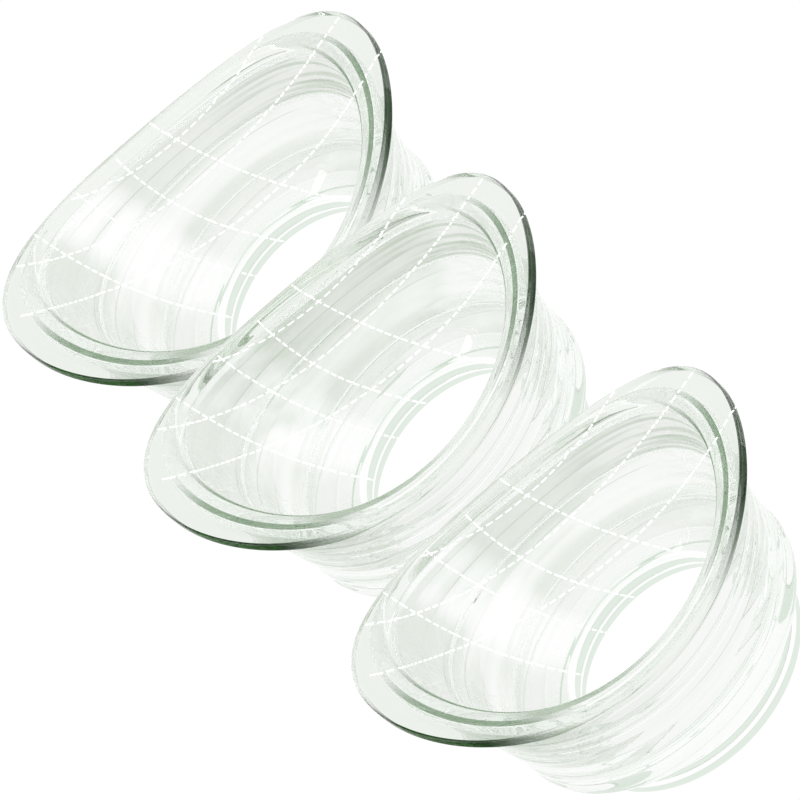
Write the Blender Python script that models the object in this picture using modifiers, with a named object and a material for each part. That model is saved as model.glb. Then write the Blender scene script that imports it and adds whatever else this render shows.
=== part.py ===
"""A set of three clear sculpted drafting sleeves, standing in a row on their foot rings.

Each sleeve is a flared ring of clear green-tinted material. Its upper edge is the drawing curve:
a long oval that rises at both ends like a saddle and leans sideways and backwards. From the
table upwards a sleeve is a round foot ring, three wall bands that lap into one another, a flat
rim flange, and a lip ring that drops into the mouth and holds the flange down.

Metres, +Z up. The origin is on the table, under the middle of the row of rims.
"""

from math import cos, pi, sin

import bmesh
import bpy

# The drawing edge: outer edge of the rim flange.
RIM_LENGTH = 0.1560
RIM_WIDTH = 0.0998
RIM_HEIGHT = 0.0670
RIM_SADDLE_RISE = 0.0202
RIM_END_LEAN = 0.0087
RIM_BACK_LEAN = 0.0071
RIM_END_SHIFT = 0.0007
RIM_FULLNESS = 0.02
RIM_SKEW = 0.155

# Rim flange: a plate, wide and dished at the ends of the oval, narrow along its sides.
FLANGE_THICKNESS = 0.0048
FLANGE_END_DISH = 0.0040
FLANGE_END_BAND = 0.0107
FLANGE_SIDE_BAND = 0.0034
FLANGE_EDGE_CHAMFER = 0.0006
HOLE_FULLNESS = 0.16

# Lip ring: a neck in the flange's hole, under a rounded bead.
LIP_END_WIDTH = 0.0054
LIP_SIDE_WIDTH = 0.0030
LIP_BEAD_RISE = 0.0020
LIP_BEAD_SHARE = 0.17
LIP_BEAD_ROUNDING = 0.0004

# Wall: widest outside at the shoulder, and flared again to a ledge under the flange.
BODY_LENGTH = 0.1160
BODY_WIDTH = 0.0976
SHOULDER_HEIGHT = 0.0190
LEDGE_SHARE = 0.28
SEAT_HEIGHT = 0.0250
SEAT_END_WALL = 0.0065
SEAT_SIDE_WALL = 0.0045
SHOULDER_POWER = 3.5
SEAT_POWER = 1.5
FLARE_POWER = 2.0
RISE_POWER = 1.6

# Joints between the wall bands: heights of the outer joint lines, and the spigot above each.
LOWER_JOINT_HEIGHT = 0.0225
UPPER_JOINT_HEIGHT = 0.0440
BAND_SPIGOT_HEIGHT = 0.0025
SPIGOT_SHARE = 0.5
SWELL_POINTS = 2

# Foot ring: turned, with a slightly conical bore and a spigot that the lower band drops over.
FOOT_RADIUS = 0.0471
FOOT_FACE_WIDTH = 0.0101
FOOT_BORE_TAPER = 0.0020
FOOT_HEIGHT = 0.0090
FOOT_SPIGOT_HEIGHT = 0.0040
FOOT_SPIGOT_WALL = 0.0035
FOOT_CHAMFER = 0.0008

# Row: the middle sleeve nearly touches the rear one, and the front one stands further off.
MIDDLE_CLEARANCE = 0.0017
FRONT_CLEARANCE = 0.0336
MIDDLE_SIDESTEP = -0.0099
FRONT_SIDESTEP = -0.0034

# Fit between two neighbouring pieces.
BOND_GAP = 0.0003

TURNS = 40
SMOOTH_ANGLE = pi / 5
WELD_DISTANCE = 0.00001

# Linear RGB and roughness of each sub-part.
LOOKS = {
    "rim_flange": ((0.80, 0.88, 0.79), 0.03),
    "lip_ring": ((0.72, 0.84, 0.71), 0.03),
    "upper_band": ((0.84, 0.90, 0.83), 0.04),
    "middle_band": ((0.86, 0.91, 0.86), 0.04),
    "lower_band": ((0.84, 0.90, 0.83), 0.04),
    "foot_ring": ((0.76, 0.86, 0.75), 0.03),
}


def clear_scene():
    for obj in list(bpy.data.objects):
        bpy.data.objects.remove(obj, do_unlink=True)


def make_collection(name):
    collection = bpy.data.collections.new(name)
    bpy.context.scene.collection.children.link(collection)
    return collection


def make_clear_material(name, colour, roughness):
    material = bpy.data.materials.new(name)
    material.use_nodes = True
    shader = material.node_tree.nodes["Principled BSDF"]
    shader.inputs["Base Color"].default_value = (*colour, 1.0)
    shader.inputs["Roughness"].default_value = roughness
    shader.inputs["Metallic"].default_value = 0.0
    shader.inputs["Transmission Weight"].default_value = 1.0
    material.diffuse_color = (*colour, 1.0)
    return material


class Oval:
    """A closed curve round the sleeve's axis: half-length, half-width, height, its share of the
    rim's rise, from 0 for a flat oval to 1 for one that runs parallel to the rim, how much
    fuller than an ellipse its corners are, and how far its ends dip below the rim's."""

    def __init__(self, half_length, half_width, height, rise=0.0, fullness=0.0, dish=0.0):
        self.half_length = half_length
        self.half_width = half_width
        self.height = height
        self.rise = rise
        self.fullness = fullness
        self.dish = dish

    def moved(self, out, up):
        """This oval moved outwards and upwards."""
        return Oval(
            self.half_length + out,
            self.half_width + out,
            self.height + up,
            self.rise,
            self.fullness,
            self.dish,
        )

    def point(self, angle):
        along = cos(angle)
        across = sin(angle)
        lift = RIM_SADDLE_RISE * along**2 - RIM_END_LEAN * along + RIM_BACK_LEAN * across
        spread = 1.0 + self.fullness * along**2 - self.rise * RIM_SKEW * along
        return (
            self.half_length * along + self.rise * RIM_END_SHIFT,
            self.half_width * across * spread,
            self.height + self.rise * lift - self.dish * along**2,
        )


def between(first, second, share):
    """The oval that lies share of the way from the first to the second."""

    def mix(low, high):
        return low + (high - low) * share

    return Oval(
        mix(first.half_length, second.half_length),
        mix(first.half_width, second.half_width),
        mix(first.height, second.height),
        mix(first.rise, second.rise),
        mix(first.fullness, second.fullness),
        mix(first.dish, second.dish),
    )


def swell(height, low, high, power):
    """From 0 at the low height to 1 at the high one, fast at first."""
    share = (height - low) / (high - low)
    return 1.0 - (1.0 - share) ** power


def flare(height, low, high, power):
    """From 0 at the low height to 1 at the high one, slow at first."""
    return max(0.0, (height - low) / (high - low)) ** power


# The rim's parts run parallel to its edge. The flange's hole sets the lip and the wall's top.
RIM_EDGE = Oval(RIM_LENGTH / 2, RIM_WIDTH / 2, RIM_HEIGHT, rise=1.0, fullness=RIM_FULLNESS)
FLANGE_HOLE = Oval(
    RIM_EDGE.half_length - FLANGE_END_BAND,
    RIM_EDGE.half_width - FLANGE_SIDE_BAND,
    RIM_HEIGHT,
    1.0,
    HOLE_FULLNESS,
    FLANGE_END_DISH,
)
MOUTH = Oval(
    FLANGE_HOLE.half_length - LIP_END_WIDTH,
    FLANGE_HOLE.half_width - LIP_SIDE_WIDTH,
    RIM_HEIGHT,
    1.0,
    HOLE_FULLNESS,
    FLANGE_END_DISH,
)
BEAD_SEAT = between(FLANGE_HOLE, RIM_EDGE, LIP_BEAD_SHARE)
WALL_DROP = -(FLANGE_THICKNESS + BOND_GAP)
LEDGE = between(FLANGE_HOLE, RIM_EDGE, LEDGE_SHARE).moved(0.0, WALL_DROP)
LIP_SEAT = MOUTH.moved(0.0, WALL_DROP)
FOOT_RING = Oval(FOOT_RADIUS, FOOT_RADIUS, 0.0)
FOOT_THROAT_RADIUS = FOOT_RADIUS - FOOT_FACE_WIDTH - FOOT_BORE_TAPER
THROAT_HEIGHT = FOOT_HEIGHT + FOOT_SPIGOT_HEIGHT
THROAT = Oval(FOOT_THROAT_RADIUS, FOOT_THROAT_RADIUS, THROAT_HEIGHT)
SHOULDER = Oval(BODY_LENGTH / 2, BODY_WIDTH / 2, SHOULDER_HEIGHT)
SEAT = Oval(
    BODY_LENGTH / 2 - SEAT_END_WALL,
    BODY_WIDTH / 2 - SEAT_SIDE_WALL,
    SEAT_HEIGHT,
)


def wall_oval(low, high, share, height, top):
    """The wall's oval at a height: share of the way out from the low oval to the high one, in
    a wall that slowly takes on the rise, fullness and dish of its top."""
    shape = between(low, high, share)
    rise = flare(height, SHOULDER_HEIGHT, top.height, RISE_POWER)
    fullness = top.fullness * rise
    return Oval(shape.half_length, shape.half_width, height, rise, fullness, top.dish * rise)


def outer_wall(height):
    if height < SHOULDER_HEIGHT:
        share = swell(height, FOOT_HEIGHT, SHOULDER_HEIGHT, SHOULDER_POWER)
        return wall_oval(FOOT_RING, SHOULDER, share, height, LEDGE)
    share = flare(height, SHOULDER_HEIGHT, LEDGE.height, FLARE_POWER)
    return wall_oval(SHOULDER, LEDGE, share, height, LEDGE)


def inner_wall(height):
    if height < SEAT_HEIGHT:
        share = swell(height, THROAT_HEIGHT, SEAT_HEIGHT, SEAT_POWER)
        return wall_oval(THROAT, SEAT, share, height, LIP_SEAT)
    share = flare(height, SEAT_HEIGHT, LIP_SEAT.height, 1.0)
    return wall_oval(SEAT, LIP_SEAT, share, height, LIP_SEAT)


def in_wall(height, share):
    """The oval at a height, share of the way from the wall's inner to its outer face."""
    return between(inner_wall(height), outer_wall(height), share)


def spaced(low, high, count):
    """Heights strictly between low and high, evenly spaced."""
    return [low + (high - low) * (i + 1) / (count + 1) for i in range(count)]


def loft_ring(name, ovals):
    """A closed ring whose cross-section's corners each run along one oval."""
    mesh = bpy.data.meshes.new(name)
    shape = bmesh.new()
    rows = []
    for turn in range(TURNS):
        angle = 2 * pi * turn / TURNS
        rows.append([shape.verts.new(oval.point(angle)) for oval in ovals])
    for turn, row in enumerate(rows):
        following = rows[(turn + 1) % TURNS]
        for corner in range(len(ovals)):
            other = (corner + 1) % len(ovals)
            shape.faces.new((row[corner], following[corner], following[other], row[other]))
    bmesh.ops.recalc_face_normals(shape, faces=shape.faces)
    shape.to_mesh(mesh)
    shape.free()
    mesh.shade_smooth()
    mesh.set_sharp_from_angle(angle=SMOOTH_ANGLE)
    return mesh


def rim_flange_mesh():
    underside = -FLANGE_THICKNESS
    return loft_ring(
        "rim_flange",
        [
            FLANGE_HOLE,
            BEAD_SEAT,
            RIM_EDGE.moved(-FLANGE_EDGE_CHAMFER, 0.0),
            RIM_EDGE.moved(0.0, -FLANGE_EDGE_CHAMFER),
            RIM_EDGE.moved(0.0, underside + FLANGE_EDGE_CHAMFER),
            RIM_EDGE.moved(-FLANGE_EDGE_CHAMFER, underside),
            FLANGE_HOLE.moved(0.0, underside),
        ],
    )


def lip_ring_mesh():
    neck = FLANGE_HOLE.moved(-BOND_GAP, 0.0)
    bead_edge = BEAD_SEAT.moved(0.0, BOND_GAP)
    bead_top = between(MOUTH, FLANGE_HOLE, 0.5).moved(0.0, BOND_GAP + LIP_BEAD_RISE)
    return loft_ring(
        "lip_ring",
        [
            neck.moved(0.0, -FLANGE_THICKNESS),
            neck.moved(0.0, BOND_GAP),
            bead_edge,
            bead_edge.moved(-LIP_BEAD_ROUNDING, LIP_BEAD_RISE / 2),
            bead_top,
            MOUTH.moved(0.0, LIP_BEAD_RISE / 2),
            MOUTH.moved(0.0, -FLANGE_THICKNESS),
        ],
    )


def upper_band_mesh():
    skirt = UPPER_JOINT_HEIGHT + BOND_GAP
    shelf = UPPER_JOINT_HEIGHT + BAND_SPIGOT_HEIGHT + BOND_GAP
    inside = [inner_wall(height) for height in spaced(shelf, LIP_SEAT.height, 1)]
    outside = [outer_wall(height) for height in spaced(skirt, LEDGE.height, SWELL_POINTS)]
    return loft_ring(
        "upper_band",
        [
            LEDGE,
            FLANGE_HOLE.moved(0.0, WALL_DROP),
            LIP_SEAT,
            *reversed(inside),
            inner_wall(shelf),
            in_wall(shelf, SPIGOT_SHARE).moved(BOND_GAP, 0.0),
            in_wall(skirt, SPIGOT_SHARE).moved(BOND_GAP, 0.0),
            outer_wall(skirt),
            *outside,
        ],
    )


def middle_band_mesh():
    skirt = LOWER_JOINT_HEIGHT + BOND_GAP
    shelf = LOWER_JOINT_HEIGHT + BAND_SPIGOT_HEIGHT + BOND_GAP
    tip = UPPER_JOINT_HEIGHT + BAND_SPIGOT_HEIGHT
    return loft_ring(
        "middle_band",
        [
            outer_wall(UPPER_JOINT_HEIGHT),
            in_wall(UPPER_JOINT_HEIGHT, SPIGOT_SHARE),
            in_wall(tip, SPIGOT_SHARE),
            inner_wall(tip),
            *[inner_wall(height) for height in reversed(spaced(shelf, tip, 1))],
            inner_wall(shelf),
            in_wall(shelf, SPIGOT_SHARE).moved(BOND_GAP, 0.0),
            in_wall(skirt, SPIGOT_SHARE).moved(BOND_GAP, 0.0),
            outer_wall(skirt),
        ],
    )


def lower_band_mesh():
    skirt = FOOT_HEIGHT + BOND_GAP
    shelf = THROAT_HEIGHT + BOND_GAP
    tip = LOWER_JOINT_HEIGHT + BAND_SPIGOT_HEIGHT
    socket = THROAT.moved(FOOT_SPIGOT_WALL + BOND_GAP, -THROAT_HEIGHT)
    outside = [outer_wall(height) for height in spaced(skirt, LOWER_JOINT_HEIGHT, SWELL_POINTS)]
    inside = [inner_wall(height) for height in spaced(shelf, tip, SWELL_POINTS)]
    return loft_ring(
        "lower_band",
        [
            outer_wall(LOWER_JOINT_HEIGHT),
            in_wall(LOWER_JOINT_HEIGHT, SPIGOT_SHARE),
            in_wall(tip, SPIGOT_SHARE),
            inner_wall(tip),
            *reversed(inside),
            inner_wall(shelf),
            socket.moved(0.0, shelf),
            socket.moved(0.0, skirt),
            outer_wall(skirt),
            *outside,
        ],
    )


def foot_ring_profile():
    """The foot ring's cross-section as (radius, height), down its outer side and back up."""
    spigot_radius = FOOT_THROAT_RADIUS + FOOT_SPIGOT_WALL
    return [
        (FOOT_THROAT_RADIUS, THROAT_HEIGHT),
        (spigot_radius, THROAT_HEIGHT),
        (spigot_radius, FOOT_HEIGHT),
        (FOOT_RADIUS - FOOT_CHAMFER, FOOT_HEIGHT),
        (FOOT_RADIUS, FOOT_HEIGHT - FOOT_CHAMFER),
        (FOOT_RADIUS, FOOT_CHAMFER),
        (FOOT_RADIUS - FOOT_CHAMFER, 0.0),
        (FOOT_RADIUS - FOOT_FACE_WIDTH, 0.0),
    ]


def add_foot_ring(name):
    """The foot ring: its cross-section, turned about the sleeve's axis."""
    profile = foot_ring_profile()
    mesh = bpy.data.meshes.new("foot_ring")
    corners = [(radius, 0.0, height) for radius, height in profile]
    edges = [(i, (i + 1) % len(corners)) for i in range(len(corners))]
    mesh.from_pydata(corners, edges, [])
    foot = bpy.data.objects.new(name, mesh)
    turned = foot.modifiers.new("Turned", "SCREW")
    turned.angle = 2 * pi
    turned.steps = TURNS
    turned.render_steps = TURNS
    turned.use_merge_vertices = True
    turned.merge_threshold = WELD_DISTANCE
    turned.use_smooth_shade = False
    return foot


def sleeve_places():
    """Where each sleeve's axis stands, with the middle of the row of rims over the origin."""
    middle = (MIDDLE_SIDESTEP, -(RIM_WIDTH + MIDDLE_CLEARANCE))
    front = (
        middle[0] + FRONT_SIDESTEP,
        middle[1] - (RIM_WIDTH + FRONT_CLEARANCE),
    )
    centre = (front[0] / 2 + RIM_END_SHIFT, front[1] / 2)
    places = {"rear": (0.0, 0.0), "middle": middle, "front": front}
    return {
        name: (place[0] - centre[0], place[1] - centre[1], 0.0)
        for name, place in places.items()
    }


def build():
    clear_scene()
    collection = make_collection("sculpted_drafting_sleeves")
    materials = {part: make_clear_material(part, *look) for part, look in LOOKS.items()}
    meshes = {
        "rim_flange": rim_flange_mesh(),
        "lip_ring": lip_ring_mesh(),
        "upper_band": upper_band_mesh(),
        "middle_band": middle_band_mesh(),
        "lower_band": lower_band_mesh(),
    }
    for sleeve, place in sleeve_places().items():
        axis = bpy.data.objects.new(f"{sleeve}_sleeve_axis", None)
        axis.location = place
        collection.objects.link(axis)
        pieces = {part: bpy.data.objects.new(f"{sleeve}_{part}", m) for part, m in meshes.items()}
        pieces["foot_ring"] = add_foot_ring(f"{sleeve}_foot_ring")
        for part, piece in pieces.items():
            if not piece.data.materials:
                piece.data.materials.append(materials[part])
            piece.parent = axis
            collection.objects.link(piece)


build()
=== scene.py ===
"""Looks of the three clear drafting sleeves: fine ringed glass, printed guides, studio."""

from math import atan, cos, pi, radians, sin, tan

import bmesh
import bpy
from mathutils import Matrix, Vector
from mathutils.bvhtree import BVHTree


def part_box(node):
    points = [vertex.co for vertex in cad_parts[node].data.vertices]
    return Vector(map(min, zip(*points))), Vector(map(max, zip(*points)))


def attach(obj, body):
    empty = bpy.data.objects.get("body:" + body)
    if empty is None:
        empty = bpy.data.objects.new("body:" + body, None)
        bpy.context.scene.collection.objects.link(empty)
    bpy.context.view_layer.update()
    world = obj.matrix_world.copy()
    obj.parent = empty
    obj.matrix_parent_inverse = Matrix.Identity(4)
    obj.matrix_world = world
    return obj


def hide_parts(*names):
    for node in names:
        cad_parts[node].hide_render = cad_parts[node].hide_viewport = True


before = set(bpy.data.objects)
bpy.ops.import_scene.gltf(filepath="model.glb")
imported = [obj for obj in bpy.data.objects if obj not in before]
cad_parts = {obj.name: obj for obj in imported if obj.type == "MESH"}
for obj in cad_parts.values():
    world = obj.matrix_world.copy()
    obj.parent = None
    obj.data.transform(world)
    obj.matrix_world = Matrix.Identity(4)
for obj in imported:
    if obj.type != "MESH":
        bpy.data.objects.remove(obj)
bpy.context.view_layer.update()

SLEEVES = ("rear", "middle", "front")

# Sizes that the frame doesn't give, in metres, and shares: the same values as the CAD's.
BODY_LENGTH = 0.1160
RIM_WIDTH = 0.0998
RIM_HEIGHT = 0.0670
RIM_SADDLE_RISE = 0.0202
RIM_END_LEAN = 0.0087
RIM_BACK_LEAN = 0.0071
RIM_END_SHIFT = 0.0007
RIM_FULLNESS = 0.02
RIM_SKEW = 0.155
FLANGE_THICKNESS = 0.0048
FLANGE_END_DISH = 0.0040
FLANGE_END_BAND = 0.0107
FLANGE_SIDE_BAND = 0.0034
HOLE_FULLNESS = 0.16
LIP_END_WIDTH = 0.0054
LIP_SIDE_WIDTH = 0.0030
LIP_BEAD_RISE = 0.0020
LIP_BEAD_SHARE = 0.17
LIP_BEAD_ROUNDING = 0.0004
LEDGE_SHARE = 0.28
SHOULDER_HEIGHT = 0.0190
SEAT_HEIGHT = 0.0250
SEAT_END_WALL = 0.0065
SEAT_SIDE_WALL = 0.0045
SHOULDER_POWER = 3.5
SEAT_POWER = 1.5
FLARE_POWER = 2.0
RISE_POWER = 1.6
LOWER_JOINT_HEIGHT = 0.0225
UPPER_JOINT_HEIGHT = 0.0440
BAND_SPIGOT_HEIGHT = 0.0025
SPIGOT_SHARE = 0.5
FOOT_FACE_WIDTH = 0.0101
FOOT_BORE_TAPER = 0.0020
FOOT_HEIGHT = 0.0090
FOOT_SPIGOT_HEIGHT = 0.0040
FOOT_SPIGOT_WALL = 0.0035
BOND_GAP = 0.0003

# Sizes that the frame gives.
RIM_LOW, RIM_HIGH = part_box("rear_rim_flange")
BODY_LOW, BODY_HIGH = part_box("rear_lower_band")
FOOT_LOW, FOOT_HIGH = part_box("rear_foot_ring")
RIM_LENGTH = RIM_HIGH.x - RIM_LOW.x
BODY_WIDTH = BODY_HIGH.y - BODY_LOW.y
FOOT_RADIUS = (FOOT_HIGH.x - FOOT_LOW.x) / 2

# Fine surface of the glass, which the CAD does without.
TURNS = 192
WALL_STEP = 0.0004
OUTER_FLUTE_PITCH = 0.0062
OUTER_FLUTE_DEPTH = 0.00022
INNER_STEP_PITCH = 0.0090
INNER_STEP_DEPTH = 0.00020
RELIEF_FADE_STEPS = 3
FOOT_TINT_HEIGHT = 0.0036

# Rounding of the corners.
SHARP_TURN = radians(25)
SHORTEST_SIDE = 1e-7
ROUND_RADIUS = 0.0006
ROUND_LIMIT = 0.45
ROUND_STEPS = 4

# What a face is, and the material slot that it takes.
CLEAR, OUTER, EDGE, BOND = "clear", "outer", "edge", "bond"
SLOT_OF_KIND = {CLEAR: 0, OUTER: 0, EDGE: 1, BOND: 2}


class Oval:
    """A closed curve round a sleeve's axis: its half-length and half-width, its height, its
    share of the rim's rise, how much fuller than an ellipse it is, and how far its ends dip."""

    def __init__(self, half_length, half_width, height, rise=0.0, fullness=0.0, dish=0.0):
        self.values = (half_length, half_width, height, rise, fullness, dish)
        self.half_length = half_length
        self.half_width = half_width
        self.height = height
        self.rise = rise
        self.fullness = fullness
        self.dish = dish

    def moved(self, out, up):
        return Oval(
            self.half_length + out, self.half_width + out, self.height + up, *self.values[3:]
        )

    def point(self, angle):
        along = cos(angle)
        across = sin(angle)
        lift = RIM_SADDLE_RISE * along**2 - RIM_END_LEAN * along + RIM_BACK_LEAN * across
        spread = 1.0 + self.fullness * along**2 - self.rise * RIM_SKEW * along
        return Vector(
            (
                self.half_length * along + self.rise * RIM_END_SHIFT,
                self.half_width * across * spread,
                self.height + self.rise * lift - self.dish * along**2,
            )
        )


def between(first, second, share):
    pairs = zip(first.values, second.values)
    return Oval(*[low + (high - low) * share for low, high in pairs])


def swell(height, low, high, power):
    return 1.0 - (1.0 - (height - low) / (high - low)) ** power


def flare(height, low, high, power):
    return max(0.0, (height - low) / (high - low)) ** power


RIM_EDGE = Oval(RIM_LENGTH / 2, RIM_WIDTH / 2, RIM_HEIGHT, 1.0, RIM_FULLNESS)
FLANGE_HOLE = Oval(
    RIM_EDGE.half_length - FLANGE_END_BAND,
    RIM_EDGE.half_width - FLANGE_SIDE_BAND,
    RIM_HEIGHT,
    1.0,
    HOLE_FULLNESS,
    FLANGE_END_DISH,
)
MOUTH = Oval(
    FLANGE_HOLE.half_length - LIP_END_WIDTH,
    FLANGE_HOLE.half_width - LIP_SIDE_WIDTH,
    *FLANGE_HOLE.values[2:],
)
BEAD_SEAT = between(FLANGE_HOLE, RIM_EDGE, LIP_BEAD_SHARE)
WALL_DROP = -(FLANGE_THICKNESS + BOND_GAP)
LEDGE = between(FLANGE_HOLE, RIM_EDGE, LEDGE_SHARE).moved(0.0, WALL_DROP)
LIP_SEAT = MOUTH.moved(0.0, WALL_DROP)
FOOT_RING = Oval(FOOT_RADIUS, FOOT_RADIUS, 0.0)
FOOT_THROAT_RADIUS = FOOT_RADIUS - FOOT_FACE_WIDTH - FOOT_BORE_TAPER
THROAT_HEIGHT = FOOT_HEIGHT + FOOT_SPIGOT_HEIGHT
THROAT = Oval(FOOT_THROAT_RADIUS, FOOT_THROAT_RADIUS, THROAT_HEIGHT)
SHOULDER = Oval(BODY_LENGTH / 2, BODY_WIDTH / 2, SHOULDER_HEIGHT)
SEAT = Oval(BODY_LENGTH / 2 - SEAT_END_WALL, BODY_WIDTH / 2 - SEAT_SIDE_WALL, SEAT_HEIGHT)


def wall_oval(low, high, share, height, top):
    shape = between(low, high, share)
    rise = flare(height, SHOULDER_HEIGHT, top.height, RISE_POWER)
    fullness = top.fullness * rise
    return Oval(shape.half_length, shape.half_width, height, rise, fullness, top.dish * rise)


def outer_wall(height):
    if height < SHOULDER_HEIGHT:
        share = swell(height, FOOT_HEIGHT, SHOULDER_HEIGHT, SHOULDER_POWER)
        return wall_oval(FOOT_RING, SHOULDER, share, height, LEDGE)
    share = flare(height, SHOULDER_HEIGHT, LEDGE.height, FLARE_POWER)
    return wall_oval(SHOULDER, LEDGE, share, height, LEDGE)


def inner_wall(height):
    if height < SEAT_HEIGHT:
        share = swell(height, THROAT_HEIGHT, SEAT_HEIGHT, SEAT_POWER)
        return wall_oval(THROAT, SEAT, share, height, LIP_SEAT)
    share = flare(height, SEAT_HEIGHT, LIP_SEAT.height, 1.0)
    return wall_oval(SEAT, LIP_SEAT, share, height, LIP_SEAT)


def in_wall(height, share):
    return between(inner_wall(height), outer_wall(height), share)


def fine_face(low, high, wall, relief):
    """A wall's face between two heights, going up. The relief says how far it stands out at a
    height, and fades at both ends, where the face meets the next piece."""
    count = max(4, round((high - low) / WALL_STEP))
    ovals = []
    for i in range(count + 1):
        height = low + (high - low) * i / count
        ends = min(1.0, min(i, count - i) / RELIEF_FADE_STEPS)
        ovals.append(wall(height).moved(relief(height) * ends, 0.0))
    return ovals


def flute_relief(height):
    """Fine rounded flutes, cut into the outside."""
    return OUTER_FLUTE_DEPTH * (abs(sin(pi * (height - FOOT_HEIGHT) / OUTER_FLUTE_PITCH)) - 1.0)


def step_relief(height):
    """Broad shallow steps, cut into the inside."""
    return INNER_STEP_DEPTH * (1.0 - abs(sin(pi * (height - THROAT_HEIGHT) / INNER_STEP_PITCH)))


def fluted_outside(low, high):
    return fine_face(low, high, outer_wall, flute_relief)


def stepped_inside(low, high):
    return fine_face(low, high, inner_wall, step_relief)


def side_point(oval):
    return Vector((oval.half_length, oval.height))


def rounded(corners, radius):
    """The same cross-section with its sharp corners rounded. Each corner is (oval, kind), and
    its kind is that of the face from it to the next corner."""
    result = []
    count = len(corners)
    for i, (corner, kind) in enumerate(corners):
        before, kind_before = corners[i - 1]
        after = corners[(i + 1) % count][0]
        into = side_point(corner) - side_point(before)
        out = side_point(after) - side_point(corner)
        shortest = min(into.length, out.length)
        if shortest < SHORTEST_SIDE or into.angle(out) < SHARP_TURN:
            result.append((corner, kind))
            continue
        start = between(corner, before, min(ROUND_LIMIT, radius / into.length))
        end = between(corner, after, min(ROUND_LIMIT, radius / out.length))
        bend = next(name for name in (BOND, EDGE, OUTER, CLEAR) if name in (kind, kind_before))
        for step in range(ROUND_STEPS + 1):
            share = step / ROUND_STEPS
            first = between(start, corner, share)
            second = between(corner, end, share)
            result.append((between(first, second, share), bend if step < ROUND_STEPS else kind))
    return result


def face_run(ovals, kind):
    """A face of this kind along these ovals, and a bonded one from the last of them."""
    return [(oval, kind) for oval in ovals[:-1]] + [(ovals[-1], BOND)]


def loft_ring(name, corners):
    """A closed ring. Each point keeps its level and its place round the oval, and each face
    whether it is on the wall's outside, for the materials to use."""
    mesh = bpy.data.meshes.new(name)
    shape = bmesh.new()
    level = shape.verts.layers.float.new("level")
    along = shape.verts.layers.float.new("along")
    across = shape.verts.layers.float.new("across")
    outer = shape.faces.layers.float.new("outer")
    rows = []
    for turn in range(TURNS):
        angle = 2 * pi * turn / TURNS
        row = []
        for oval, _ in corners:
            vert = shape.verts.new(oval.point(angle))
            vert[level] = oval.height
            vert[along] = cos(angle)
            vert[across] = sin(angle)
            row.append(vert)
        rows.append(row)
    for turn, row in enumerate(rows):
        following = rows[(turn + 1) % TURNS]
        for corner, (_, kind) in enumerate(corners):
            other = (corner + 1) % len(corners)
            face = shape.faces.new((row[corner], following[corner], following[other], row[other]))
            face.material_index = SLOT_OF_KIND[kind]
            face[outer] = 1.0 if kind == OUTER else 0.0
    bmesh.ops.recalc_face_normals(shape, faces=shape.faces)
    shape.to_mesh(mesh)
    shape.free()
    mesh.shade_smooth()
    return mesh


def rim_flange():
    underside = -FLANGE_THICKNESS
    ledge = between(FLANGE_HOLE, RIM_EDGE, LEDGE_SHARE)
    return rounded(
        [
            (BEAD_SEAT, CLEAR),
            (RIM_EDGE, EDGE),
            (RIM_EDGE.moved(0.0, underside), CLEAR),
            (ledge.moved(0.0, underside), BOND),
            (FLANGE_HOLE.moved(0.0, underside), BOND),
            (FLANGE_HOLE, BOND),
        ],
        ROUND_RADIUS,
    )


def lip_ring():
    neck = FLANGE_HOLE.moved(-BOND_GAP, 0.0)
    bead_edge = BEAD_SEAT.moved(0.0, BOND_GAP)
    bead_top = between(MOUTH, FLANGE_HOLE, 0.5).moved(0.0, BOND_GAP + LIP_BEAD_RISE)
    return rounded(
        [
            (neck.moved(0.0, -FLANGE_THICKNESS), BOND),
            (neck.moved(0.0, BOND_GAP), BOND),
            (bead_edge, EDGE),
            (bead_edge.moved(-LIP_BEAD_ROUNDING, LIP_BEAD_RISE / 2), CLEAR),
            (bead_top, CLEAR),
            (MOUTH.moved(0.0, LIP_BEAD_RISE / 2), EDGE),
            (MOUTH.moved(0.0, -FLANGE_THICKNESS), BOND),
        ],
        3 * ROUND_RADIUS,
    )


def upper_band():
    skirt = UPPER_JOINT_HEIGHT + BOND_GAP
    shelf = UPPER_JOINT_HEIGHT + BAND_SPIGOT_HEIGHT + BOND_GAP
    return rounded(
        [
            (FLANGE_HOLE.moved(0.0, WALL_DROP), BOND),
            *face_run(stepped_inside(shelf, LIP_SEAT.height)[::-1], CLEAR),
            (in_wall(shelf, SPIGOT_SHARE).moved(BOND_GAP, 0.0), BOND),
            (in_wall(skirt, SPIGOT_SHARE).moved(BOND_GAP, 0.0), BOND),
            *face_run(fluted_outside(skirt, LEDGE.height), OUTER),
        ],
        ROUND_RADIUS,
    )


def middle_band():
    skirt = LOWER_JOINT_HEIGHT + BOND_GAP
    shelf = LOWER_JOINT_HEIGHT + BAND_SPIGOT_HEIGHT + BOND_GAP
    tip = UPPER_JOINT_HEIGHT + BAND_SPIGOT_HEIGHT
    return rounded(
        [
            (in_wall(UPPER_JOINT_HEIGHT, SPIGOT_SHARE), BOND),
            (in_wall(tip, SPIGOT_SHARE), BOND),
            *face_run(stepped_inside(shelf, tip)[::-1], CLEAR),
            (in_wall(shelf, SPIGOT_SHARE).moved(BOND_GAP, 0.0), BOND),
            (in_wall(skirt, SPIGOT_SHARE).moved(BOND_GAP, 0.0), BOND),
            *face_run(fluted_outside(skirt, UPPER_JOINT_HEIGHT), OUTER),
        ],
        ROUND_RADIUS,
    )


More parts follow.
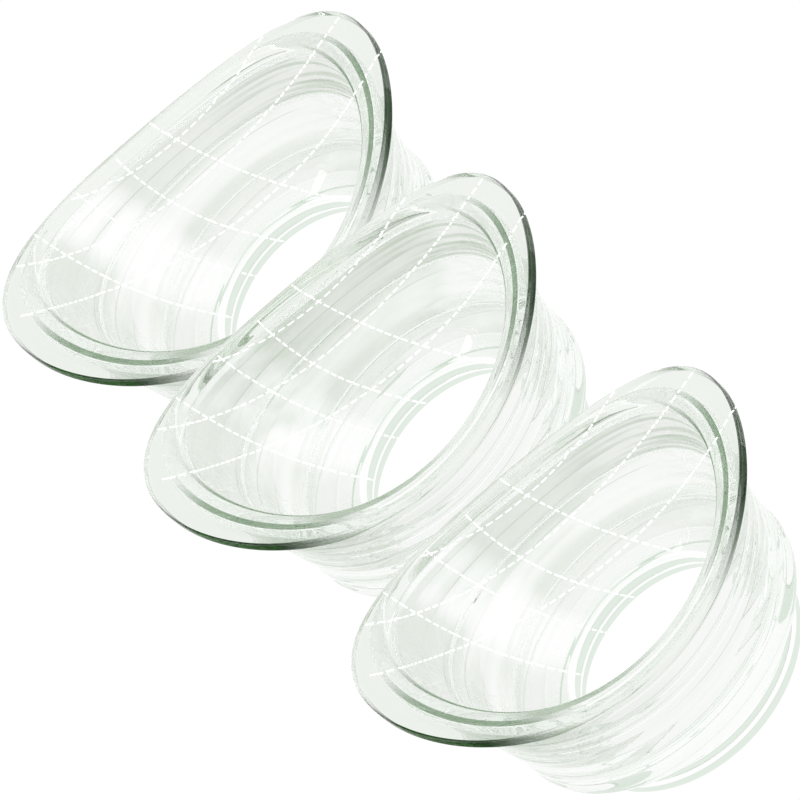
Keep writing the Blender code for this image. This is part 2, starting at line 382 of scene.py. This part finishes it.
def lower_band():
    skirt = FOOT_HEIGHT + BOND_GAP
    shelf = THROAT_HEIGHT + BOND_GAP
    tip = LOWER_JOINT_HEIGHT + BAND_SPIGOT_HEIGHT
    socket = THROAT.moved(FOOT_SPIGOT_WALL + BOND_GAP, -THROAT_HEIGHT)
    return rounded(
        [
            (in_wall(LOWER_JOINT_HEIGHT, SPIGOT_SHARE), BOND),
            (in_wall(tip, SPIGOT_SHARE), BOND),
            *face_run(stepped_inside(shelf, tip)[::-1], CLEAR),
            (socket.moved(0.0, shelf), BOND),
            (socket.moved(0.0, skirt), BOND),
            *face_run(fluted_outside(skirt, LOWER_JOINT_HEIGHT), OUTER),
        ],
        ROUND_RADIUS,
    )


def foot_ring():
    spigot_radius = FOOT_THROAT_RADIUS + FOOT_SPIGOT_WALL
    bore_radius = FOOT_RADIUS - FOOT_FACE_WIDTH
    band = FOOT_TINT_HEIGHT / THROAT_HEIGHT
    band_radius = bore_radius + (FOOT_THROAT_RADIUS - bore_radius) * band
    profile = [
        (FOOT_THROAT_RADIUS, THROAT_HEIGHT, BOND),
        (spigot_radius, THROAT_HEIGHT, BOND),
        (spigot_radius, FOOT_HEIGHT, BOND),
        (FOOT_RADIUS, FOOT_HEIGHT, CLEAR),
        (FOOT_RADIUS, FOOT_TINT_HEIGHT, EDGE),
        (FOOT_RADIUS, 0.0, CLEAR),
        (bore_radius, 0.0, EDGE),
        (band_radius, FOOT_TINT_HEIGHT, CLEAR),
    ]
    corners = [(Oval(radius, radius, height), kind) for radius, height, kind in profile]
    return rounded(corners, ROUND_RADIUS)


SECTIONS = {
    "rim_flange": rim_flange,
    "lip_ring": lip_ring,
    "upper_band": upper_band,
    "middle_band": middle_band,
    "lower_band": lower_band,
    "foot_ring": foot_ring,
}


# The glass.
WHITE = (1.0, 1.0, 1.0, 1.0)
GLASS_IOR = 1.47
STREAK_DEPTH = 0.0002
VALLEY_WIDTH = 0.20
# How finely each pattern changes from level to level, and the bubbles from place to place.
STREAK_SCALE = 900.0
VALLEY_SCALE = 330.0
LINE_SCALE = 1100.0
EDGE_SCALE = 1600.0
BUBBLE_SCALE = 900.0
# Stretches round the oval, as the turn of the middle and how far from it the stretch starts
# and is full, in degrees: the painted highlight, the painted light on the near side, the
# painted dark refraction lines and the painted shade on the cut edges.
PAINTED_HIGHLIGHT_STRETCH = (118, 17, 4)
PAINTED_NEAR_LIGHT_STRETCH = (-80, 80, 35)
REFRACTION_LINES_RIGHT = (12, 66, 20)
REFRACTION_LINES_LEFT = (-130, 46, 14)
SHADED_EDGE_RIGHT = (-28, 46, 14)
SHADED_EDGE_LEFT = (-155, 38, 12)


class Nodes:
    """Short calls for building one material's nodes."""

    def __init__(self, material):
        self.nodes = material.node_tree.nodes
        self.links = material.node_tree.links
        self.shader = self.nodes["Principled BSDF"]

    def add(self, kind, **settings):
        node = self.nodes.new(kind)
        for name, value in settings.items():
            setattr(node, name, value)
        return node

    def feed(self, socket, value):
        if isinstance(value, bpy.types.NodeSocket):
            self.links.new(value, socket)
        else:
            socket.default_value = value

    def attribute(self, name):
        return self.add("ShaderNodeAttribute", attribute_name=name).outputs["Fac"]

    def math(self, operation, first, second=0.0):
        node = self.add("ShaderNodeMath", operation=operation)
        self.feed(node.inputs[0], first)
        self.feed(node.inputs[1], second)
        return node.outputs[0]

    def fade(self, value, low, high, start=0.0, end=1.0):
        node = self.add("ShaderNodeMapRange", interpolation_type="SMOOTHSTEP")
        for name, given in (
            ("Value", value),
            ("From Min", low),
            ("From Max", high),
            ("To Min", start),
            ("To Max", end),
        ):
            self.feed(node.inputs[name], given)
        return node.outputs["Result"]

    def vector(self, x, y, z):
        node = self.add("ShaderNodeCombineXYZ")
        for socket, value in zip(node.inputs, (x, y, z)):
            self.feed(socket, value)
        return node.outputs[0]

    def noise(self, vector, scale, detail):
        node = self.add("ShaderNodeTexNoise")
        for name, given in (("Vector", vector), ("Scale", scale), ("Detail", detail)):
            self.feed(node.inputs[name], given)
        return node.outputs["Fac"]

    def blend(self, share, first, second):
        node = self.add("ShaderNodeMix", data_type="RGBA")
        self.feed(node.inputs["Factor"], share)
        self.feed(node.inputs["A"], first)
        self.feed(node.inputs["B"], second)
        return node.outputs["Result"]


def new_material(name):
    material = bpy.data.materials.new(name)
    material.use_nodes = True
    return material, Nodes(material)


def facing(graph, turn, start, full):
    """How far a place round the oval is turned towards this turn: 0 at start, 1 at full."""
    along = graph.math("MULTIPLY", graph.attribute("along"), cos(radians(turn)))
    across = graph.math("MULTIPLY", graph.attribute("across"), sin(radians(turn)))
    return graph.fade(graph.math("ADD", along, across), cos(radians(start)), cos(radians(full)))


def ring_noise(graph, level_scale, turn_scale):
    """Noise that changes slowly round the oval and fast from level to level."""
    level = graph.math("MULTIPLY", graph.attribute("level"), level_scale)
    place = graph.vector(graph.attribute("along"), graph.attribute("across"), level)
    return graph.noise(place, turn_scale, 0.0)


def roughness(graph, look, streaks, outer):
    """A little along the streaks, and on the outside a haze that grows towards the back."""
    polish = graph.fade(streaks, 0.3, 0.7, 0.0, look["rough_high"])
    across = graph.attribute("across")
    haze = graph.fade(across, -0.1, 0.5, look["rough_outer"], look["rough_back"])
    return graph.math("ADD", polish, graph.math("MULTIPLY", outer, haze))


def painted_valley_shade(graph, look, outer):
    """Painted shade in the valleys of the outer flutes: dark lines that come and go round the
    oval.
    """
    turn = graph.math("MULTIPLY", graph.attribute("level"), pi / OUTER_FLUTE_PITCH)
    from_foot = graph.math("SUBTRACT", turn, pi * FOOT_HEIGHT / OUTER_FLUTE_PITCH)
    crest = graph.math("ABSOLUTE", graph.math("SINE", from_foot))
    valley_shade = graph.math("MULTIPLY", graph.fade(crest, VALLEY_WIDTH, 0.0), outer)
    uneven = graph.fade(ring_noise(graph, VALLEY_SCALE, 0.9), 0.42, 0.60, 0.1, 1.0)
    return graph.math("MULTIPLY", graph.math("MULTIPLY", valley_shade, look["valley_shade"]), uneven)


def painted_refraction_lines(graph, look):
    """Painted dark refraction lines, fine and side by side, on two stretches."""
    ends = graph.math("MAXIMUM", facing(graph, *REFRACTION_LINES_RIGHT), facing(graph, *REFRACTION_LINES_LEFT))
    fine = graph.fade(ring_noise(graph, LINE_SCALE, 0.7), 0.42, 0.66)
    return graph.math("MULTIPLY", graph.math("MULTIPLY", ends, fine), look["refraction_lines"])


def tint_under_painted_light(graph, look, streaks):
    """How much of its tint a place keeps: all of it, but less under the painted highlight and the
    painted light on the near side.
    """
    pale = graph.math("MULTIPLY", facing(graph, *PAINTED_HIGHLIGHT_STRETCH), look["pale"])
    pale = graph.math("MULTIPLY", pale, graph.fade(streaks, 0.25, 0.5, 0.6, 1.0))
    near = graph.math("MULTIPLY", facing(graph, *PAINTED_NEAR_LIGHT_STRETCH), look["near_painted_light"])
    return graph.math("SUBTRACT", 1.0, graph.math("MAXIMUM", pale, near))


def glass(name, look):
    """Clear polished material with a pale green tint that is uneven along the rings, fine
    drawing marks, painted dark refraction lines, a painted highlight, painted light on the near
    side, and painted shade as green lines in the valleys of the outer flutes."""
    material, graph = new_material(name)
    shader = graph.shader
    shader.inputs["IOR"].default_value = GLASS_IOR
    shader.inputs["Transmission Weight"].default_value = 1.0
    streaks = ring_noise(graph, STREAK_SCALE, 0.5)
    if look["streak_bump"]:
        bump = graph.add("ShaderNodeBump")
        bump.inputs["Strength"].default_value = look["streak_bump"]
        bump.inputs["Distance"].default_value = STREAK_DEPTH
        graph.feed(bump.inputs["Height"], streaks)
        graph.feed(shader.inputs["Normal"], bump.outputs["Normal"])
    outer = graph.attribute("outer")
    graph.feed(shader.inputs["Roughness"], roughness(graph, look, streaks, outer))
    bands = graph.fade(ring_noise(graph, look["band_scale"], 0.5), 0.36, 0.66)
    tone = graph.blend(bands, (*look["clear"], 1.0), (*look["band"], 1.0))
    # Painted dark refraction lines on two stretches.
    tone = graph.blend(painted_refraction_lines(graph, look), tone, (*look["shade_line"], 1.0))
    # Painted highlight and painted light on the near side: the tint gives way to white there.
    tone = graph.blend(tint_under_painted_light(graph, look, streaks), WHITE, tone)
    # Painted shade: dark green lines in the valleys of the outer flutes.
    tone = graph.blend(painted_valley_shade(graph, look, outer), tone, (*look["shade_line"], 1.0))
    graph.feed(shader.inputs["Base Color"], tone)
    return material


def cut_edge(name, look):
    """The cut edge of a piece, where one looks into the depth of the material: on the rim and
    the lip, dark green painted shade on the two edge stretches; on the other pieces, a green tint
    all round it."""
    material, graph = new_material(name)
    shader = graph.shader
    shader.inputs["IOR"].default_value = look["edge_ior"]
    shader.inputs["Transmission Weight"].default_value = 1.0
    shader.inputs["Specular Tint"].default_value = (*look["edge_gloss"], 1.0)
    streaks = ring_noise(graph, EDGE_SCALE, 0.7)
    graph.feed(shader.inputs["Roughness"], graph.fade(streaks, 0.3, 0.7, 0.0, 0.004))
    # Painted shade on the two edge stretches, or a tint all round.
    stretches = graph.math("MAXIMUM", facing(graph, *SHADED_EDGE_RIGHT), facing(graph, *SHADED_EDGE_LEFT))
    edge_tint_and_shade = graph.math("MAXIMUM", stretches, look["edge_all_round"])
    edge_tint_and_shade = graph.math("MULTIPLY", edge_tint_and_shade, graph.fade(streaks, 0.2, 0.6, 0.9, 1.0))
    tone = graph.blend(edge_tint_and_shade, (*look["clear"], 1.0), (*look["edge"], 1.0))
    graph.feed(shader.inputs["Base Color"], tone)
    return material


def clear_bond():
    """The bonded faces inside the joints: the cement has the pieces' own refraction, so light
    passes them straight. A faint speckle stands for its tiny bubbles."""
    material, graph = new_material("clear_bond")
    shader = graph.shader
    shader.inputs["IOR"].default_value = 1.0
    shader.inputs["Transmission Weight"].default_value = 1.0
    shader.inputs["Roughness"].default_value = 0.0
    place = graph.add("ShaderNodeTexCoord").outputs["Object"]
    speckle = graph.noise(place, BUBBLE_SCALE, 1.0)
    tone = graph.blend(speckle, (0.97, 0.985, 0.97, 1.0), WHITE)
    graph.feed(shader.inputs["Base Color"], tone)
    return material


# What each piece's materials take.
WALL_LOOK = {
    "streak_bump": 0.012,
    "rough_high": 0.02,
    "rough_outer": 0.01,
    "rough_back": 0.28,
    "band_scale": 260.0,
    "clear": (0.915, 0.93, 0.905),
    "band": (0.75, 0.79, 0.735),
    # The colour of the painted shade lines: those in the flute valleys and the dark refraction
    # lines.
    "shade_line": (0.32, 0.42, 0.30),
    # How strong the painted valley shade and the painted refraction lines are.
    "valley_shade": 0.7,
    "refraction_lines": 0.0,
    # How strong the painted light on the near side and the painted highlight are.
    "near_painted_light": 0.55,
    "pale": 0.85,
    "edge": (0.60, 0.70, 0.60),
    "edge_gloss": (0.8, 0.9, 0.8),
    "edge_all_round": 1.0,
    "edge_ior": GLASS_IOR,
}
RIM_LOOK = {
    **WALL_LOOK,
    "streak_bump": 0.0,
    "rough_high": 0.003,
    "band_scale": 0.0,
    "clear": (0.85, 0.88, 0.84),
    "band": (0.81, 0.845, 0.80),
    "pale": 0.0,
    "near_painted_light": 0.0,
    # Painted shade on the cut edge's two stretches: near black green.
    "edge": (0.0012, 0.0110, 0.0006),
    "edge_gloss": (0.25, 0.50, 0.22),
    "edge_all_round": 0.0,
    "edge_ior": 1.10,
}
LIP_LOOK = {
    **RIM_LOOK,
    "clear": (0.93, 0.945, 0.92),
    # Colour and strength of the painted dark refraction lines on the lip.
    "shade_line": (0.22, 0.32, 0.20),
    "refraction_lines": 0.9,
    # Painted shade on the lip's cut edge, on the same two stretches.
    "edge": (0.09, 0.16, 0.08),
    "edge_gloss": (0.6, 0.8, 0.6),
    "edge_ior": GLASS_IOR,
}
FOOT_LOOK = {
    **WALL_LOOK,
    "streak_bump": 0.0,
    "clear": (0.98, 0.99, 0.98),
    "band": (0.94, 0.96, 0.94),
    "edge": (0.52, 0.64, 0.52),
}
UPPER_LOOK = {**WALL_LOOK, "refraction_lines": 0.75, "clear": (0.80, 0.82, 0.785)}
LOWER_LOOK = {**WALL_LOOK, "clear": (0.85, 0.87, 0.84)}
LOOKS = {
    "rim_flange": RIM_LOOK,
    "lip_ring": LIP_LOOK,
    "upper_band": UPPER_LOOK,
    "middle_band": WALL_LOOK,
    "lower_band": LOWER_LOOK,
    "foot_ring": FOOT_LOOK,
}

# Printed guide dashes. The guides are drawn as arcs on a print plane that leans back at 45
# degrees, and are laid on the sleeve's inside straight along that plane's axis. Each arc is
# given by its start, middle and end, as (across, up) in millimetres from the foot's centre.
GUIDES = [
    ((75.8, 60.8), (-3.5, 62.9), (-58.3, 88.0)),
    ((78.0, 43.5), (1.7, 42.5), (-70.9, 76.7)),
    ((54.3, 76.2), (8.5, 76.0), (-29.4, 89.1)),
    ((7.5, 85.6), (16.3, 51.5), (31.7, 18.5)),
    ((-8.9, 86.6), (-5.9, 56.2), (7.8, 25.5)),
    ((-26.5, 88.9), (-20.7, 56.2), (-7.5, 25.1)),
    ((-46.0, 90.2), (-38.8, 55.3), (-24.0, 23.0)),
]
MILLIMETRE = 0.001
DASH_LENGTH = 0.0027
DASH_PERIOD = 0.0039
DASH_WIDTH = 0.00055
DASH_LIFT = 0.00035
DASH_THICKNESS = 0.00012
GUIDE_STEPS = 900
PRINT_TILT = radians(45)
PRINT_DISTANCE = 0.3


def arc_point(start, middle, end, share):
    """The quadratic arc that passes its start, middle and end."""
    first = 2.0 * (share - 0.5) * (share - 1.0)
    second = -4.0 * share * (share - 1.0)
    third = 2.0 * share * (share - 0.5)
    return [first * a + second * b + third * c for a, b, c in zip(start, middle, end)]


def laid_on(surface, across, up):
    """Where a place on the print plane lands on the sleeve, and the way out of its surface."""
    down = Vector((0.0, sin(PRINT_TILT), -cos(PRINT_TILT)))
    plane_up = Vector((0.0, cos(PRINT_TILT), sin(PRINT_TILT)))
    start = Vector((across, 0.0, 0.0)) + plane_up * up - down * PRINT_DISTANCE
    here, out, _, _ = surface.ray_cast(start, down)
    if here is None:
        return None
    return here, out if out.dot(down) < 0 else -out


def add_tape(shape, ends):
    """One flat dash between stations given as (point, out, side)."""
    rows = []
    for point, out, side in ends:
        lift = out * DASH_LIFT
        reach = side * (DASH_WIDTH / 2)
        depth = out * DASH_THICKNESS
        corners = (lift - reach, lift + reach, lift + reach + depth, lift - reach + depth)
        rows.append([shape.verts.new(point + corner) for corner in corners])
    for row, following in zip(rows, rows[1:]):
        for corner in range(4):
            other = (corner + 1) % 4
            shape.faces.new((row[corner], row[other], following[other], following[corner]))
    shape.faces.new(rows[0][::-1])
    shape.faces.new(rows[-1])


def guide_stations(surface, arc):
    """Where one guide runs, as a close row of (point, out of the surface)."""
    stations = []
    for i in range(GUIDE_STEPS + 1):
        across, up = arc_point(*arc, i / GUIDE_STEPS)
        landed = laid_on(surface, across * MILLIMETRE, up * MILLIMETRE)
        if landed:
            stations.append(landed)
    return stations


def dashes_along(stations):
    """The dashes of one guide, each a list of (point, out, side). The gaps, and the jumps
    from one piece's surface to another's, are left out."""
    dashes = [[]]
    walked = 0.0
    for (here, out), (following, _) in zip(stations, stations[1:]):
        step = following - here
        if step.length > DASH_LENGTH or walked % DASH_PERIOD >= DASH_LENGTH:
            dashes.append([])
        else:
            dashes[-1].append((here, out, step.cross(out).normalized()))
        walked += step.length
    return [dash for dash in dashes if len(dash) > 1]


def guide_mesh(surface):
    mesh = bpy.data.meshes.new("guide_dashes")
    shape = bmesh.new()
    for arc in GUIDES:
        for dash in dashes_along(guide_stations(surface, arc)):
            add_tape(shape, dash)
    bmesh.ops.recalc_face_normals(shape, faces=shape.faces)
    shape.to_mesh(mesh)
    shape.free()
    return mesh


def surface_of(meshes):
    """One tree of all the sleeve's faces, for laying the guides on."""
    points, faces = [], []
    for mesh in meshes:
        base = len(points)
        points += [vert.co for vert in mesh.vertices]
        faces += [[base + i for i in face.vertices] for face in mesh.polygons]
    return BVHTree.FromPolygons(points, faces)


def guide_ink():
    """White printed dashes, slightly uneven in tone like a screen print. They glow a little,
    so that they stay white behind glass."""
    material, graph = new_material("guide_ink")
    shader = graph.shader
    place = graph.add("ShaderNodeTexCoord").outputs["Object"]
    speckle = graph.noise(place, 2500.0, 2.0)
    tone = graph.blend(speckle, (0.90, 0.91, 0.90, 1.0), (0.97, 0.97, 0.97, 1.0))
    graph.feed(shader.inputs["Base Color"], tone)
    graph.feed(shader.inputs["Roughness"], graph.fade(speckle, 0.2, 0.8, 0.5, 0.7))
    shader.inputs["Specular IOR Level"].default_value = 0.2
    shader.inputs["Emission Color"].default_value = WHITE
    shader.inputs["Emission Strength"].default_value = 0.35
    return material


def add_sleeves():
    bond = clear_bond()
    meshes = {}
    for part, section in SECTIONS.items():
        mesh = loft_ring(part, section())
        mesh.materials.append(glass(f"{part}_glass", LOOKS[part]))
        mesh.materials.append(cut_edge(f"{part}_edge", LOOKS[part]))
        mesh.materials.append(bond)
        meshes[part] = mesh
    dashes = guide_mesh(surface_of(meshes.values()))
    dashes.materials.append(guide_ink())
    for sleeve in SLEEVES:
        low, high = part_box(f"{sleeve}_foot_ring")
        place = Vector(((low.x + high.x) / 2, (low.y + high.y) / 2, low.z))
        for part, mesh in meshes.items():
            piece = bpy.data.objects.new(f"{sleeve}_{part}_glass", mesh)
            piece.location = place
            piece.visible_shadow = False
            piece.visible_diffuse = False
            bpy.context.scene.collection.objects.link(piece)
            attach(piece, f"{sleeve}_sleeve")
            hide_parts(f"{sleeve}_{part}")
        guides = bpy.data.objects.new(f"{sleeve}_guide_dashes", dashes)
        guides.location = place
        bpy.context.scene.collection.objects.link(guides)
        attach(guides, f"{sleeve}_sleeve")


# The studio: a glowing floor, and the room's colours from straight down, 0, over the horizon,
# 0.5, to straight up, 1.
FLOOR_GLOW = 1.02
FLOOR_SIZE = 40.0
ROOM_STOPS = [
    (0.498, (FLOOR_GLOW, FLOOR_GLOW, FLOOR_GLOW, 1.0)),
    (0.500, (0.30, 0.37, 0.28, 1.0)),
    (0.525, (0.30, 0.37, 0.28, 1.0)),
    (0.725, (0.97, 0.98, 0.97, 1.0)),
]


def add_floor():
    """A plain pale floor that is lit evenly from below, like a light table."""
    material, graph = new_material("pale_floor")
    shader = graph.shader
    shader.inputs["Base Color"].default_value = (0.0, 0.0, 0.0, 1.0)
    shader.inputs["Roughness"].default_value = 0.9
    shader.inputs["Specular IOR Level"].default_value = 0.0
    shader.inputs["Emission Color"].default_value = WHITE
    shader.inputs["Emission Strength"].default_value = FLOOR_GLOW
    bpy.ops.mesh.primitive_plane_add(size=FLOOR_SIZE)
    floor = bpy.context.object
    floor.name = "floor"
    floor.data.materials.append(material)


def add_world():
    """A soft room: bright overhead, and dimmer and slightly green towards the horizon. Under the
    horizon it is as pale as the floor, which it carries on beyond its edge."""
    world = bpy.data.worlds.new("studio")
    bpy.context.scene.world = world
    world.use_nodes = True
    nodes = world.node_tree.nodes
    links = world.node_tree.links
    place = nodes.new("ShaderNodeTexCoord")
    split = nodes.new("ShaderNodeSeparateXYZ")
    links.new(place.outputs["Generated"], split.inputs[0])
    height = nodes.new("ShaderNodeMapRange")
    height.inputs["From Min"].default_value = -1.0
    height.inputs["From Max"].default_value = 1.0
    links.new(split.outputs["Z"], height.inputs["Value"])
    ramp = nodes.new("ShaderNodeValToRGB")
    ramp.color_ramp.interpolation = "EASE"
    stops = ramp.color_ramp.elements
    stops[0].position, stops[0].color = ROOM_STOPS[0]
    stops[1].position, stops[1].color = ROOM_STOPS[-1]
    for position, color in ROOM_STOPS[1:-1]:
        stops.new(position).color = color
    links.new(height.outputs["Result"], ramp.inputs["Fac"])
    links.new(ramp.outputs["Color"], nodes["Background"].inputs["Color"])
    nodes["Background"].inputs["Strength"].default_value = 1.0


def add_area(name, place, aim, size, power):
    data = bpy.data.lights.new(name, "AREA")
    data.shape = "RECTANGLE"
    data.size, data.size_y = size
    data.energy = power
    light = bpy.data.objects.new(name, data)
    light.location = place
    light.rotation_euler = (Vector(aim) - Vector(place)).to_track_quat("-Z", "Y").to_euler()
    bpy.context.scene.collection.objects.link(light)


# The camera looks along +Y, down at 45 degrees, and is rolled, as if held askew.
CAMERA_ELEVATION = radians(45)
CAMERA_ROLL = radians(49.1)
CAMERA_AIM = Vector((-0.00175, 0.0335, 0.0300))
CAMERA_LENS = 1600.0
CAMERA_SENSOR = 36.0
VIEW_WIDTH = 0.2667


def add_camera():
    data = bpy.data.cameras.new("camera")
    data.lens = CAMERA_LENS
    data.sensor_width = CAMERA_SENSOR
    distance = VIEW_WIDTH / 2 / tan(atan(CAMERA_SENSOR / 2 / CAMERA_LENS))
    data.clip_start = 0.1
    data.clip_end = 5 * distance
    right = Vector((1.0, 0.0, 0.0))
    up = Vector((0.0, sin(CAMERA_ELEVATION), cos(CAMERA_ELEVATION)))
    look = Vector((0.0, cos(CAMERA_ELEVATION), -sin(CAMERA_ELEVATION)))
    rolled_right = right * cos(CAMERA_ROLL) - up * sin(CAMERA_ROLL)
    rolled_up = right * sin(CAMERA_ROLL) + up * cos(CAMERA_ROLL)
    turn = Matrix((rolled_right, rolled_up, -look)).transposed()
    camera = bpy.data.objects.new("camera", data)
    camera.matrix_world = Matrix.Translation(CAMERA_AIM - look * distance) @ turn.to_4x4()
    bpy.context.scene.collection.objects.link(camera)
    bpy.context.scene.camera = camera


add_sleeves()
add_floor()
add_world()
add_area("left_strip", (-0.9, 0.1, 0.9), (0.0, 0.0, 0.04), (0.15, 1.2), 1.5)
add_camera()

# Light crosses many walls, and each reflection inside the glass counts as a glossy bounce.
GLASS_BOUNCES = 40
bpy.context.scene.view_settings.view_transform = "Standard"
bpy.context.scene.cycles.max_bounces = GLASS_BOUNCES
bpy.context.scene.cycles.transmission_bounces = GLASS_BOUNCES
bpy.context.scene.cycles.glossy_bounces = GLASS_BOUNCES
bpy.context.scene.cycles.transparent_max_bounces = GLASS_BOUNCES
